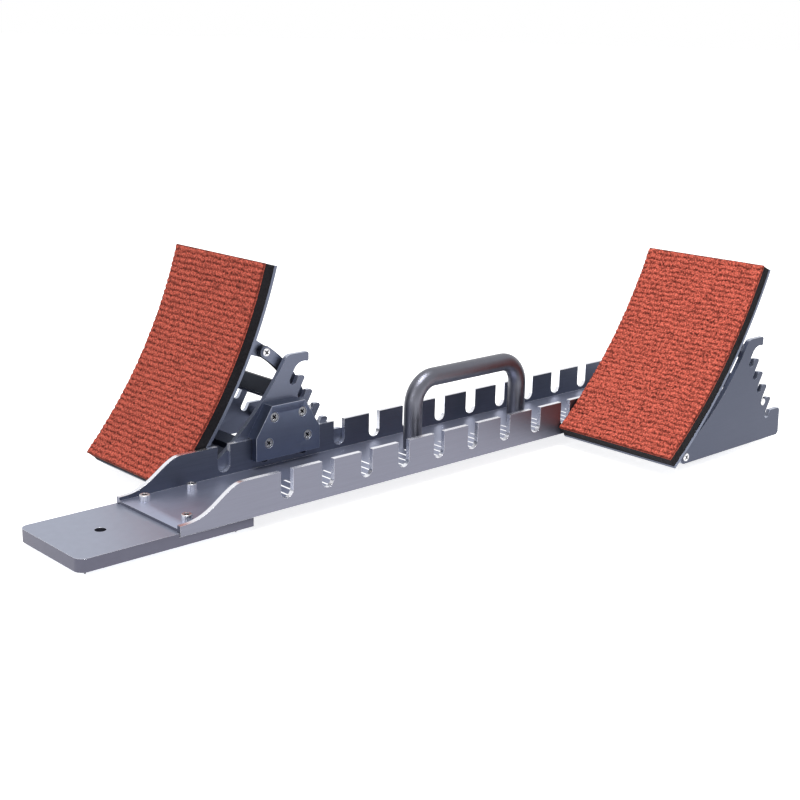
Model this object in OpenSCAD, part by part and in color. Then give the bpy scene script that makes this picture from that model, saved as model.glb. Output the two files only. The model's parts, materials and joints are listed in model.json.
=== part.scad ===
// Starting blocks for sprinters: a slotted channel rail with a front plate and a carry handle,
// and two foot pedals that lift out of the slots and prop up at five angles.
// X runs along the rail, with the start line at -X. Z is up, and the spike tips stand on z = 0.

/* [Rail] */
// Length of the whole set, from the front plate to the end of the rail
overall_l = 880; // [860:1:960]
// Width of the rail over its walls
rail_w = 106; // [100:1:120]
// Height of the rail walls above the plates
wall_h = 34; // [32:0.5:38]
// Thickness of the rail walls
wall_t = 5; // [4:0.5:6]
// Thickness of the rail floor
floor_t = 3; // [2.5:0.5:4]
// How far the walls hang down beside the plates
lip_h = 3.5; // [2:0.5:5]
// Height of the wall tips at the front end
tip_h = 6.5; // [5:0.5:9]
// Length of the curved rise at the front of the walls
rise_l = 70; // [60:1:80]
// Distance between slot centres
slot_pitch = 50; // [48:0.5:52]
// Number of slots in each wall
slot_n = 13; // [13:1:14]
// Width of a slot
slot_w = 15; // [14:0.5:16]
// Height of a slot's lowest point above the plates
slot_floor = 6.6; // [5.5:0.1:8]
// Distance from the rail's front end to the first slot
slot_start = 120; // [112:1:130]

/* [Plates and spikes] */
// How far the front plate reaches ahead of the rail
plate_reach = 101; // [90:1:120]
// Length of the front plate that lies under the rail
plate_under = 81; // [75:1:100]
// Length of the rear plate
rear_plate_l = 100; // [90:1:120]
// Thickness of both plates
plate_t = 12.5; // [10:0.5:16]
// Radius of the front plate's corners
plate_corner = 9; // [5:0.5:14]
// Radius of the ground-pin hole
pin_hole_r = 5.25; // [4:0.05:7]
// Distance from the plate's front edge to the ground-pin hole
pin_hole_x = 52; // [40:1:65]
// Length of a spike below its plate
spike_l = 6; // [5:0.5:9]
// Radius of a spike at its root
spike_r = 3; // [2.5:0.1:4]
// Distance of the spikes from the plate edges
spike_inset = 12; // [11:0.5:18]

/* [Screws] */
// Shank radius of the plate screws and block screws
screw_r = 3; // [2.5:0.1:3.5]
// Head radius of the plate screws
cap_r = 5; // [4.5:0.1:6]
// Head height of the plate screws
cap_h = 6; // [5:0.5:8]
// Distance between the plate screws along the rail
screw_span_x = 52.5; // [45:0.5:58]
// Distance between the plate screws across the rail
screw_span_y = 69; // [60:1:74]

/* [Handle] */
// Distance between the handle's leg axes
handle_l = 163; // [140:1:190]
// Height of the handle's top axis above the plates
handle_h = 77; // [65:1:95]
// Radius of the handle tube
tube_r = 10; // [8:0.5:12]
// Bend radius of the handle's axis
tube_bend = 28; // [22:1:32]
// Distance from the rail's front end to the handle's middle
handle_mid = 413.5; // [405:0.5:425]

/* [Pedal brackets] */
// First slot that holds the front pedal
front_slot = 2; // [1:1:3]
// First slot that holds the rear pedal
rear_slot = 11; // [10:1:12]
// Notch that props the front pedal, counted from the top
front_notch = 3; // [2:1:4]
// Notch that props the rear pedal, counted from the top
rear_notch = 4; // [2:1:4]
// Width of a bracket over its cheeks
bracket_w = 146; // [135:1:155]
// Thickness of a cheek
cheek_t = 5; // [4:0.5:6]
// Height of the hinge bolt above the bottom of the cheeks
bolt_z = 8; // [8:0.5:10]
// Distance from the hinge bolt to the middle of the locking block
bolt_to_block = 97; // [94:0.5:100]
// Distance from the hinge bolt to the rear edge of a cheek
cheek_rear = 183; // [180:1:190]
// Height of the hook tip above the hinge bolt
hook_z = 114.5; // [113:0.5:118]
// Distance from the hinge bolt to the hook tip
hook_x = 134; // [131:0.5:137]
// Number of notches in a cheek
notch_n = 5; // [5]
// Distance from the hinge bolt to the top notch
notch_x = 113.5; // [112.5:0.5:114.5]
// Height of the top notch above the hinge bolt
notch_z = 86.5; // [85.5:0.5:87.5]
// Step rearward from one notch to the next
notch_dx = 10.4; // [10:0.1:10.8]
// Step down from one notch to the next
notch_dz = 16.5; // [16:0.1:17]
// Slope of the notches from the horizontal
notch_slope = 60; // [58:1:62]
// Height of a finger above the seat of its notch
finger_h = 4; // [3.5:0.5:5]
// Width of a finger's top
finger_w = 8; // [7:0.5:8.5]

/* [Locking block] */
// Length of the locking block along the rail
block_l = 82; // [78:1:86]
// Length of the locking block's top
block_top_l = 42; // [38:1:46]
// Height of the locking block above the rail wall
block_rise = 33; // [31:0.5:35]
// Depth of the locking block inside the rail
block_drop = 22; // [19:0.5:24]
// Thickness of the part that hangs inside the rail
block_t = 8; // [6:0.5:10]

/* [Pads] */
// Width of a pad
pad_w = 153; // [145:1:158]
// Length of a pad along its chord
pad_l = 240; // [225:1:255]
// Depth of the pad's hollow
pad_sag = 14; // [10:0.5:18]
// Thickness of the red tread under its ribs
tread_t = 2.5; // [2:0.5:4]
// Height of the tread ribs
rib_h = 1.2; // [0.8:0.1:1.6]
// Number of tread ribs
rib_n = 34; // [28:1:40]
// Thickness of the black rubber core
core_t = 11.5; // [9:0.5:13]
// Thickness of the metal backing plate
back_t = 3.5; // [3:0.5:5]
// Distance along the chord from the pad's lower end to the hinge bolt
pad_heel = 17.5; // [16:0.5:22]
// Distance from the pad's chord back to the hinge bolt
pad_set = 36; // [34:0.5:39]

/* [Props] */
// Distance from the hinge bolt to the prop pivots
pivot_reach = 146; // [144:0.5:148]
// Angle from the pad's chord back to the prop pivots
pivot_angle = 6.2; // [5.5:0.1:7]
// Distance from the prop pivots to the prop rod
prop_l = 82; // [80.5:0.5:83.5]
// Bow of a prop arm
prop_bow = 7; // [5:0.5:9]
// Width of a prop arm
arm_w = 13; // [12:0.5:14]
// Thickness of a prop arm and of a lug
arm_t = 5; // [4:0.5:6]
// Radius of the prop rod and the hinge bolt
rod_r = 4; // [3.5:0.1:4.5]

/* [Hidden] */

// clearances, shared by every fit
fit = 0.05;
gap = 0.4;
eps = 0.01;
cut = 200;

// rail and plates
ground_z = 0;
plate_z = ground_z + spike_l;
base_z = plate_z + plate_t;
rail_x0 = -overall_l / 2 + plate_reach;
rail_x1 = overall_l / 2;
first_slot_x = rail_x0 + slot_start;
inner_w = rail_w - 2 * wall_t;
plate_w = rail_w - 1;
rebate_w = (plate_w - inner_w) / 2 + gap;
rebate_h = lip_h + gap;
front_screws_in = 45.5;
front_screws_x = rail_x0 + front_screws_in;
rear_screws_x = rail_x1 - rear_plate_l / 2;
thread_l = plate_t - 3;
foot_screw_r = 4;
foot_screw_l = 20;
foot_head_r = 7;
foot_head_h = 4;
spike_seat = 5;
spike_tip_r = 0.8;

// pedals, in a frame whose origin is the hinge bolt, at the outer face of the rail wall
// the cheeks' feet hang a little below the rail
cheek_hang = 9.5;
bolt_base_z = base_z - cheek_hang + bolt_z;
wall_top = base_z + wall_h - bolt_base_z;
boss_r = bolt_z;
notch_r = rod_r + gap;
cheek_in = gap;
cheek_out = bracket_w - cheek_t;
side_gap = 3.6;
arm_in = cheek_in + cheek_t + side_gap;
arm_out = bracket_w - cheek_t - side_gap - arm_t;
key_gap = 0.3;
key_w = slot_w - 2 * key_gap;
pivot_screw_r = 3;
pivot_head_r = 4.5;
pivot_head_h = 2.4;
block_screw_dx = 18;
block_screw_dz = 21;
key_screw_drop = 5;
head_r = 5;
head_h = 2.5;
head_sink = 0.3;
pad_y = 1.5;
upper_tie_x = 168;
upper_tie_z = 12;
upper_tie_r = 6;
base_tie_x = 52;
base_tie_l = 60;
base_tie_t = 5;
base_tie_end = 23;
base_tie_h = 12;
base_tie_z = -boss_r + base_tie_h / 2 + 0.5;
blind_t = 2;
tie_screw_l = 12;
tie_bore_l = tie_screw_l + 2;

// pad arc, in a frame along the chord with the hinge bolt as origin
arc_r = (pad_l * pad_l / 4 + pad_sag * pad_sag) / (2 * pad_sag);
arc_x = pad_l / 2 - pad_heel;
arc_z = pad_set - pad_sag + arc_r;
arc_half = asin(pad_l / 2 / arc_r);
core_r = arc_r + tread_t;
back_r = core_r + core_t;
rear_r = back_r + back_t;
pivot_x = pivot_reach * cos(pivot_angle);
pivot_z = -pivot_reach * sin(pivot_angle);

metal = [0.55, 0.56, 0.62];
dark_metal = [0.33, 0.34, 0.38];
steel = [0.80, 0.80, 0.82];
tread_red = [0.72, 0.25, 0.19];
black_rubber = [0.08, 0.08, 0.08];

function slot_x(i) = first_slot_x + (i - 1) * slot_pitch;
function pedal_x(slot) = slot_x(slot) + slot_pitch / 2 - bolt_to_block;
function seat(i) = [notch_x + (i - 1) * notch_dx, notch_z - (i - 1) * notch_dz];

// angle of the line from the hinge bolt to the prop pivots when the rod lies in notch i
function pivot_dir(i) =
    let (s = seat(i), d = norm(s))
    atan2(s[1], s[0]) + acos((pivot_reach * pivot_reach + d * d - prop_l * prop_l) / (2 * pivot_reach * d));
function pad_tilt(i) = pivot_dir(i) + pivot_angle;
function pivot_at(i) = pivot_reach * [cos(pivot_dir(i)), sin(pivot_dir(i))];
function prop_dir(i) =
    let (a = pivot_at(i), s = seat(i))
    atan2(s[1] - a[1], s[0] - a[0]);

// points of a circular arc from p to q that bows to the right by the given amount
function arc(p, q, bow, n = 12) =
    let (c = norm(q - p), u = (q - p) / c, v = [u[1], -u[0]], r = (c * c / 4 + bow * bow) / (2 * bow),
         half = asin(c / 2 / r))
    [for (i = [0 : n]) let (a = half * (2 * i / n - 1))
        (p + q) / 2 + u * r * sin(a) + v * (bow - r + r * cos(a))];

// a plate in the XZ plane, from y to y + t
module side_plate(y, t) {
    translate([0, y + t, 0]) rotate([90, 0, 0]) linear_extrude(t) children();
}
// a round bar along Y
module bar(x, z, r, y0, y1, fn = 48) {
    translate([x, y1, z]) rotate([90, 0, 0]) cylinder(r = r, h = y1 - y0, $fn = fn);
}
// a plate outline with rounded corners at one end
module round_end(l, w, r) {
    translate([r, -w / 2]) square([l - r, w]);
    translate([0, r - w / 2]) square([l, w - 2 * r]);
    for (y = [r - w / 2, w / 2 - r]) translate([r, y]) circle(r = r, $fn = 64);
}
// the four corners of a screw pattern on the rail's centre line
module screw_grid(x) {
    for (sx = [-1, 1]) for (sy = [-1, 1])
        translate([x + sx * screw_span_x / 2, sy * screw_span_y / 2, 0]) children();
}
// places a pedal part: the front pedal stands at +Y, and the rear one is its mirror image at -Y
module at_pedal(front) {
    if (front) translate([pedal_x(front_slot), rail_w / 2, bolt_base_z]) children();
    else mirror([0, 1, 0]) translate([pedal_x(rear_slot), rail_w / 2, bolt_base_z]) children();
}
module at_pad(front) {
    at_pedal(front) rotate([0, -pad_tilt(front ? front_notch : rear_notch), 0]) children();
}
// the prop's own frame: its pivots at the origin and its rod along +X
module at_prop(front) {
    i = front ? front_notch : rear_notch;
    at_pedal(front) translate([pivot_at(i)[0], 0, pivot_at(i)[1]]) rotate([0, -prop_dir(i), 0]) children();
}

// side of the rail: a low tip at the front, then an S-shaped rise to the full wall
tail_cut = 4;
module wall_profile() {
    rise = [for (i = [0 : 20]) let (t = i / 20)
        [rail_x0 + t * rise_l, tip_h + (wall_h - tip_h) * (1 - cos(180 * pow(t, 1.35))) / 2]];
    polygon(concat([[rail_x0, -lip_h]], rise,
                   [[rail_x1 - tail_cut, wall_h], [rail_x1, wall_h - tail_cut], [rail_x1, -lip_h]]));
}
module rail() color(metal) translate([0, 0, base_z]) difference() {
    union() {
        for (y = [-rail_w / 2, rail_w / 2 - wall_t]) side_plate(y, wall_t) wall_profile();
        translate([rail_x0, -inner_w / 2 - eps, 0]) cube([rail_x1 - rail_x0, inner_w + 2 * eps, floor_t]);
    }
    for (i = [1 : slot_n]) {
        bar(slot_x(i), slot_floor + slot_w / 2, slot_w / 2, -cut, cut);
        translate([slot_x(i) - slot_w / 2, -cut, slot_floor + slot_w / 2]) cube([slot_w, 2 * cut, wall_h]);
    }
    for (x = [front_screws_x, rear_screws_x]) screw_grid(x)
        translate([0, 0, -eps]) cylinder(r = screw_r + fit, h = floor_t + 2 * eps, $fn = 32);
    for (x = handle_legs()) translate([x, 0, -eps])
        cylinder(r = foot_screw_r + fit, h = floor_t + 2 * eps, $fn = 32);
}
function handle_legs() = [rail_x0 + handle_mid - handle_l / 2, rail_x0 + handle_mid + handle_l / 2];

// both plates carry rebates that the rail's lips hang into
module plate_cuts(x0, x1, screws_x) {
    for (s = [-1, 1]) translate([x0, s * (plate_w / 2 - rebate_w / 2), base_z - rebate_h])
        translate([0, -rebate_w / 2 - (s < 0 ? 1 : 0), 0]) cube([x1 - x0, rebate_w + 1, cut]);
    screw_grid(screws_x) translate([0, 0, base_z - thread_l]) cylinder(r = screw_r + fit, h = cut, $fn = 32);
}
module front_plate() color(metal) difference() {
    translate([-overall_l / 2, 0, plate_z]) linear_extrude(plate_t)
        round_end(plate_reach + plate_under, plate_w, plate_corner);
    plate_cuts(rail_x0 - gap, rail_x0 + plate_under + 1, front_screws_x);
    translate([-overall_l / 2 + pin_hole_x, 0, 0]) cylinder(r = pin_hole_r, h = cut, $fn = 64);
    spike_holes(front_spike_x());
}
module rear_plate() color(metal) difference() {
    translate([rail_x1, 0, plate_z]) linear_extrude(plate_t)
        mirror([1, 0]) round_end(rear_plate_l, plate_w, plate_corner / 2);
    plate_cuts(rail_x1 - rear_plate_l - 1, rail_x1 + 1, rear_screws_x);
    spike_holes(rear_spike_x());
}
function front_spike_x() = [-overall_l / 2 + spike_inset, rail_x0 + plate_under - spike_inset];
function rear_spike_x() = [rail_x1 - rear_plate_l + spike_inset, rail_x1 - spike_inset];
module at_spikes(xs) {
    for (x = xs) for (s = [-1, 1]) translate([x, s * (plate_w / 2 - spike_inset), 0]) children();
}
module spike_holes(xs) {
    at_spikes(xs) translate([0, 0, plate_z - eps])
        cylinder(r = spike_r + fit, h = spike_seat + fit + eps, $fn = 32);
}
module spikes(xs) {
    at_spikes(xs) {
        translate([0, 0, plate_z]) cylinder(r = spike_r, h = spike_seat, $fn = 32);
        translate([0, 0, ground_z]) cylinder(r1 = spike_tip_r, r2 = spike_r, h = spike_l, $fn = 32);
    }
}
module front_spikes() color(dark_metal) spikes(front_spike_x());
module rear_spikes() color(dark_metal) spikes(rear_spike_x());

// socket-head screws through the rail floor into a plate
module plate_screws(x) {
    screw_grid(x) difference() {
        union() {
            translate([0, 0, base_z + floor_t]) cylinder(r = cap_r, h = cap_h, $fn = 48);
            translate([0, 0, base_z - thread_l + 1]) cylinder(r = screw_r, h = thread_l + floor_t, $fn = 32);
        }
        translate([0, 0, base_z + floor_t + cap_h / 2]) cylinder(r = cap_r * 0.55, h = cap_h, $fn = 6);
    }
}
module front_plate_screws() color(steel) plate_screws(front_screws_x);
module rear_plate_screws() color(steel) plate_screws(rear_screws_x);

module carry_handle() color(dark_metal) difference() {
    union() {
        for (x = handle_legs()) translate([x, 0, base_z + floor_t])
            cylinder(r = tube_r, h = handle_h - tube_bend - floor_t, $fn = 64);
        translate([handle_legs()[0] + tube_bend, 0, base_z + handle_h]) rotate([0, 90, 0])
            cylinder(r = tube_r, h = handle_l - 2 * tube_bend, $fn = 64);
        for (s = [0, 1])
            translate([handle_legs()[s] + (s ? -tube_bend : tube_bend), 0, base_z + handle_h - tube_bend])
            mirror([s ? 0 : 1, 0, 0]) rotate([90, 0, 0]) rotate_extrude(angle = 90, $fn = 96)
                translate([tube_bend, 0]) circle(r = tube_r, $fn = 64);
    }
    for (x = handle_legs()) translate([x, 0, base_z + floor_t - eps])
        cylinder(r = foot_screw_r + fit, h = foot_screw_l + 2, $fn = 32);
}
module handle_screws() color(steel) for (x = handle_legs()) translate([x, 0, 0]) {
    translate([0, 0, base_z]) cylinder(r = foot_screw_r, h = floor_t + foot_screw_l, $fn = 32);
    translate([0, 0, base_z - foot_head_h]) cylinder(r = foot_head_r, h = foot_head_h, $fn = 48);
}

// cheek outline: concave front edge, hook, and a staircase whose rounded steps become the fingers
hook_l = 22;
hook_neck_x = hook_x - hook_l - 11;
hook_neck_z = hook_z - 8;
front_bow = 8.8;
finger_round = 3.5;
finger_x = [for (i = [1 : notch_n]) seat(i)[0] + finger_h / tan(notch_slope) + notch_r / sin(notch_slope)];
module cheek_outline() {
    hook_root = seat(1) + 12 * [cos(notch_slope), sin(notch_slope)]
        - notch_r * [sin(notch_slope), -cos(notch_slope)];
    stairs = [for (i = [1 : notch_n - 1])
        let (x = finger_x[i - 1] + finger_w, z = seat(i)[1] + finger_h)
        each concat([for (a = [0 : 22.5 : 90]) [x, z] + finger_round * [sin(a) - 1, cos(a) - 1]],
                    [[x, seat(i + 1)[1] + finger_h]])];
    polygon(concat(
        [[0, -boss_r], [cheek_rear - 3, -boss_r], [cheek_rear, -boss_r + 3],
         [cheek_rear - 1.5, seat(notch_n)[1] + finger_h - 2.5],
         [cheek_rear - 4, seat(notch_n)[1] + finger_h]],
        [for (i = [len(stairs) - 1 : -1 : 0]) stairs[i]],
        [[seat(1)[0] - 3, seat(1)[1] + finger_h]],
        arc(hook_root, [hook_x - 1.5, hook_z - 10], -3),
        [[hook_x, hook_z - 8.5], [hook_x, hook_z - 1.5], [hook_x - 1.5, hook_z]],
        arc([hook_x - hook_l, hook_z], [hook_neck_x + 1, hook_neck_z + 1], 2, 6),
        arc([hook_neck_x, hook_neck_z], [-2, boss_r * 0.95], -front_bow)));
}
// lengths of the slots that are cut from the seats outwards
first_notch_l = 14;
notch_l = 19;
module cheek(y, inner) difference() {
    union() {
        side_plate(y, cheek_t) cheek_outline();
        bar(0, 0, boss_r, y, y + cheek_t, 64);
    }
    for (i = [1 : notch_n]) {
        bar(seat(i)[0], seat(i)[1], notch_r, y - 1, y + cheek_t + 1);
        translate([seat(i)[0], y - 1, seat(i)[1]]) rotate([0, -notch_slope, 0])
            translate([0, 0, -notch_r]) cube([i == 1 ? first_notch_l : notch_l, cheek_t + 2, 2 * notch_r]);
    }
    bar(0, 0, rod_r + fit, y - 1, y + cheek_t + 1);
    // blind holes for the tie screws, open towards the ties
    for (p = tie_screw_places()) bar(p[0], p[1], screw_r + fit, inner ? y + blind_t : y - 1,
                                     inner ? y + cheek_t + 1 : y + cheek_t - blind_t, 32);
    if (inner) at_block_screws() bar(0, 0, screw_r + fit, y - 1, y + cheek_t + 1, 32);
}
function base_tie_screws() = [base_tie_x + base_tie_l / 5, base_tie_x + base_tie_l * 4 / 5];
module at_block_screws() {
    for (s = [-1, 1]) {
        translate([bolt_to_block + s * block_screw_dx, 0, wall_top + block_screw_dz]) children();
        translate([bolt_to_block + s * slot_pitch / 2, 0, wall_top - key_screw_drop]) children();
    }
}
module inner_cheek(front) color(metal) at_pedal(front) cheek(cheek_in, true);
module outer_cheek(front) color(metal) at_pedal(front) cheek(cheek_out, false);

// ties that hold the cheeks apart: a grooved block at the base and a round bar in the tail
tie_y0 = cheek_in + cheek_t;
tie_y1 = cheek_out;
module base_tie(front) color(metal) at_pedal(front) difference() {
    translate([base_tie_x, tie_y0, base_tie_z - base_tie_h / 2])
        cube([base_tie_l, tie_y1 - tie_y0, base_tie_h]);
    translate([base_tie_x + base_tie_end, tie_y0 - 1, base_tie_z - base_tie_h / 2 + base_tie_t])
        cube([base_tie_l - 2 * base_tie_end, tie_y1 - tie_y0 + 2, base_tie_h]);
    for (x = base_tie_screws()) for (y = [tie_y0 - 1, tie_y1 - tie_bore_l])
        bar(x, base_tie_z, screw_r + fit, y, y + tie_bore_l + 1, 32);
}
module upper_tie(front) color(metal) at_pedal(front) difference() {
    bar(upper_tie_x, upper_tie_z, upper_tie_r, tie_y0, tie_y1);
    for (y = [tie_y0 - 1, tie_y1 - tie_bore_l])
        bar(upper_tie_x, upper_tie_z, screw_r + fit, y, y + tie_bore_l + 1, 32);
}
// headless screws that join the ties to blind holes in the cheeks, so the outer faces stay plain
function tie_screw_places() = [[upper_tie_x, upper_tie_z], for (x = base_tie_screws()) [x, base_tie_z]];
module tie_screws(front) color(steel) at_pedal(front) for (p = tie_screw_places()) {
    bar(p[0], p[1], screw_r, cheek_in + blind_t + fit, tie_y0 + tie_screw_l, 32);
    bar(p[0], p[1], screw_r, tie_y1 - tie_screw_l, bracket_w - blind_t - fit, 32);
}

// locking block: a shoulder over the wall, a part inside the rail and two round-ended keys in the slots
module block_outline(z0) {
    polygon([[-block_l / 2, z0], [block_l / 2, z0], [block_l / 2, 2], [block_top_l / 2, block_rise],
             [-block_top_l / 2, block_rise], [-block_l / 2, 2]]);
}
block_y = -(wall_t + gap + block_t);
block_top_z = gap;
module lock_block(front) color(metal) at_pedal(front) difference() {
    translate([bolt_to_block, 0, wall_top]) union() {
        side_plate(block_y, block_t) block_outline(-block_drop);
        side_plate(block_y + block_t - eps, wall_t + gap + cheek_in + eps) block_outline(block_top_z);
        for (s = [-1, 1]) {
            bar(s * slot_pitch / 2, -key_screw_drop, key_w / 2, block_y + block_t - eps, cheek_in);
            translate([s * slot_pitch / 2 - key_w / 2, block_y + block_t - eps, -key_screw_drop])
                cube([key_w, cheek_in - block_y - block_t + eps, key_screw_drop + block_top_z + eps]);
        }
    }
    at_block_screws() {
        bar(0, 0, screw_r + fit, block_y - 1, cheek_in + 1, 32);
        bar(0, 0, head_r + gap / 2, block_y - 1, block_y + head_h, 32);
    }
}
module block_screws(front) color(steel) at_pedal(front) at_block_screws() {
    bar(0, 0, screw_r, block_y + 1, cheek_in + cheek_t, 32);
    bar(0, 0, head_r, block_y + head_sink, block_y + head_h, 32);
}
module hinge_bolt(front) color(steel) at_pedal(front) {
    bar(0, 0, rod_r, cheek_in, bracket_w + eps);
    bar(0, 0, rod_r + 0.6, bracket_w, bracket_w + head_h, 64);
}

// a curved slab between two radii of the pad's arc
module arc_slab(r0, r1) intersection() {
    difference() {
        bar(arc_x, arc_z, r1, pad_y, pad_y + pad_w, 720);
        bar(arc_x, arc_z, r0, pad_y - 1, pad_y + pad_w + 1, 720);
    }
    side_plate(pad_y - 1, pad_w + 2)
        polygon([[arc_x, arc_z],
                 [arc_x - 2 * r1 * sin(arc_half), arc_z - 2 * r1 * cos(arc_half)],
                 [arc_x + 2 * r1 * sin(arc_half), arc_z - 2 * r1 * cos(arc_half)]]);
}
module pad_back(front) color(metal) at_pad(front) arc_slab(back_r, rear_r);
module pad_core(front) color(black_rubber) at_pad(front) arc_slab(core_r, back_r);
// the tread's foot side is a row of flat-topped ribs
module pad_tread(front) color(tread_red) at_pad(front) intersection() {
    arc_slab(arc_r - 2 * rib_h, core_r);
    side_plate(pad_y - 1, pad_w + 2) translate([arc_x, arc_z]) polygon(concat(
        [for (i = [0 : rib_n - 1]) for (k = [[0.08, 0], [0.3, 1], [0.7, 1], [0.92, 0]])
            let (a = -arc_half + 2 * arc_half * (i + k[0]) / rib_n, r = arc_r - rib_h * k[1])
                r * [sin(a), -cos(a)]],
        [for (s = [1, 0, -1]) 1.1 * core_r * [sin(s * arc_half), -cos(s * arc_half)]]));
}

// lugs welded on the backing plate: a pair at the hinge bolt and a pair for the prop
module lug(x, z, r, y, t, x0, x1, bore) difference() {
    union() {
        bar(x, z, r, y, y + t, 64);
        side_plate(y, t)
            polygon([[x0, pad_set], [x - r * 0.97, z - r * 0.24], [x, z], [x + r * 0.97, z - r * 0.24],
                     [x1, pad_set]]);
    }
    bar(x, z, bore + fit, y - 1, y + t + 1);
    bar(arc_x, arc_z, rear_r, y - 1, y + t + 1, 720);
}
module hinge_lugs(front) color(metal) at_pad(front)
    for (y = [cheek_in + cheek_t + gap, cheek_out - gap - arm_t])
        lug(0, 0, boss_r - 1, y, arm_t, -boss_r + 1, boss_r + 12, rod_r);
module prop_lugs(front) color(metal) at_pad(front)
    for (y = [arm_in + arm_t + gap, arm_out - gap - arm_t])
        lug(pivot_x, pivot_z, arm_w / 2, y, arm_t, pivot_x - 16, pivot_x + 10, pivot_screw_r);
module pivot_screws(front) color(steel) at_pad(front) for (s = [0, 1]) {
    y0 = s ? arm_out - gap - arm_t : arm_in;
    y1 = s ? arm_out + arm_t : arm_in + 2 * arm_t + gap;
    bar(pivot_x, pivot_z, pivot_screw_r, y0, y1, 32);
    bar(pivot_x, pivot_z, pivot_head_r, s ? y1 : y0 - pivot_head_h, s ? y1 + pivot_head_h : y0, 48);
}

// prop: two bowed arms with an ear below, a flat tie between the ears and a rod that drops into the notches
tie_w = 18;
tie_t = 4;
tie_along = 0.6 * prop_l;
tie_below = 9;
tie_lean = 37;
bow_r = (prop_l * prop_l / 4 + prop_bow * prop_bow) / (2 * prop_bow);
module prop_arm(y) difference() {
    union() {
        intersection() {
            difference() {
                bar(prop_l / 2, prop_bow - bow_r, bow_r + arm_w / 2, y, y + arm_t, 180);
                bar(prop_l / 2, prop_bow - bow_r, bow_r - arm_w / 2, y - 1, y + arm_t + 1, 180);
            }
            side_plate(y - 1, arm_t + 2)
                polygon([[prop_l / 2, prop_bow - bow_r], [-prop_l / 2, bow_r - prop_bow],
                         [prop_l * 1.5, bow_r - prop_bow]]);
        }
        for (x = [0, prop_l]) bar(x, 0, arm_w / 2, y, y + arm_t, 64);
        side_plate(y, arm_t)
            polygon([[tie_along - 20, prop_bow], [tie_along - 13, 2 - tie_below],
                     [tie_along + 4, -7 - tie_below],
                     [tie_along + 11, -5 - tie_below], [prop_l - 3, 0], [tie_along + 10, prop_bow]]);
    }
    bar(0, 0, pivot_screw_r + fit, y - 1, y + arm_t + 1, 32);
    bar(prop_l, 0, rod_r + fit, y - 1, y + arm_t + 1);
}
module inner_arm(front) color(dark_metal) at_prop(front) prop_arm(arm_in);
module outer_arm(front) color(dark_metal) at_prop(front) prop_arm(arm_out);
// the tie is a flat bar on edge, under ears on the arms
module prop_tie(front) color(dark_metal) at_prop(front) translate([tie_along, arm_in + arm_t, -tie_below])
    rotate([0, tie_lean, 0]) translate([-tie_w / 2, 0, -tie_t / 2])
        cube([tie_w, arm_out - arm_in - arm_t, tie_t]);
module prop_rod(front) color(steel) at_prop(front) bar(prop_l, 0, rod_r, cheek_in + gap, bracket_w + 0.6);

rail();
front_plate();
front_spikes();
front_plate_screws();
rear_plate();
rear_spikes();
rear_plate_screws();
carry_handle();
handle_screws();
inner_cheek(true);  // front_inner_cheek
outer_cheek(true);  // front_outer_cheek
base_tie(true);  // front_base_tie
upper_tie(true);  // front_upper_tie
tie_screws(true);  // front_tie_screws
lock_block(true);  // front_lock_block
block_screws(true);  // front_block_screws
hinge_bolt(true);  // front_hinge_bolt
pad_back(true);  // front_pad_back
pad_core(true);  // front_pad_core
pad_tread(true);  // front_pad_tread
hinge_lugs(true);  // front_hinge_lugs
prop_lugs(true);  // front_prop_lugs
pivot_screws(true);  // front_pivot_screws
inner_arm(true);  // front_inner_arm
outer_arm(true);  // front_outer_arm
prop_tie(true);  // front_prop_tie
prop_rod(true);  // front_prop_rod
inner_cheek(false);  // rear_inner_cheek
outer_cheek(false);  // rear_outer_cheek
base_tie(false);  // rear_base_tie
upper_tie(false);  // rear_upper_tie
tie_screws(false);  // rear_tie_screws
lock_block(false);  // rear_lock_block
block_screws(false);  // rear_block_screws
hinge_bolt(false);  // rear_hinge_bolt
pad_back(false);  // rear_pad_back
pad_core(false);  // rear_pad_core
pad_tread(false);  // rear_pad_tread
hinge_lugs(false);  // rear_hinge_lugs
prop_lugs(false);  // rear_prop_lugs
pivot_screws(false);  // rear_pivot_screws
inner_arm(false);  // rear_inner_arm
outer_arm(false);  // rear_outer_arm
prop_tie(false);  // rear_prop_tie
prop_rod(false);  // rear_prop_rod
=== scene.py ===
import json, math
import bpy, bmesh
import numpy as np
from mathutils import Matrix, Vector

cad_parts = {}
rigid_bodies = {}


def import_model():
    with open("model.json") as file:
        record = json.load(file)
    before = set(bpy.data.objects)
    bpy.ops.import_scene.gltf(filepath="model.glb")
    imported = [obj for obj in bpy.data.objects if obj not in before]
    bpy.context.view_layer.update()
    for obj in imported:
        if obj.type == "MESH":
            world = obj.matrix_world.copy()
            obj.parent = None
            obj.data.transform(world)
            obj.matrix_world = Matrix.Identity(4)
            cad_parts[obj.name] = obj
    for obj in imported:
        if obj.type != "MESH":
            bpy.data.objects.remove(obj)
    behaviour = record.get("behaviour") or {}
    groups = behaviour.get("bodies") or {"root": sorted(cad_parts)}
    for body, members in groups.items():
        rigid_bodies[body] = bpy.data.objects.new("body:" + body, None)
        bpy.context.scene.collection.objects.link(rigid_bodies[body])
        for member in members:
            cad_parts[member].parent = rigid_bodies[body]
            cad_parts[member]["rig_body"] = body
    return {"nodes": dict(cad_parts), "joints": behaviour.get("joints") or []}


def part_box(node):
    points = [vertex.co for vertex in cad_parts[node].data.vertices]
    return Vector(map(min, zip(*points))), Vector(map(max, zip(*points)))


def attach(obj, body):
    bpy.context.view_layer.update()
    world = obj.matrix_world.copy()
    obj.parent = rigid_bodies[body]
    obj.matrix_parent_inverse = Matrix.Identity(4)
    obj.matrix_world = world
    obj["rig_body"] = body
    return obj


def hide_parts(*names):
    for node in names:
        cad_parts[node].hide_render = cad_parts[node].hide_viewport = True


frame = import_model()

scene = bpy.context.scene
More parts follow.
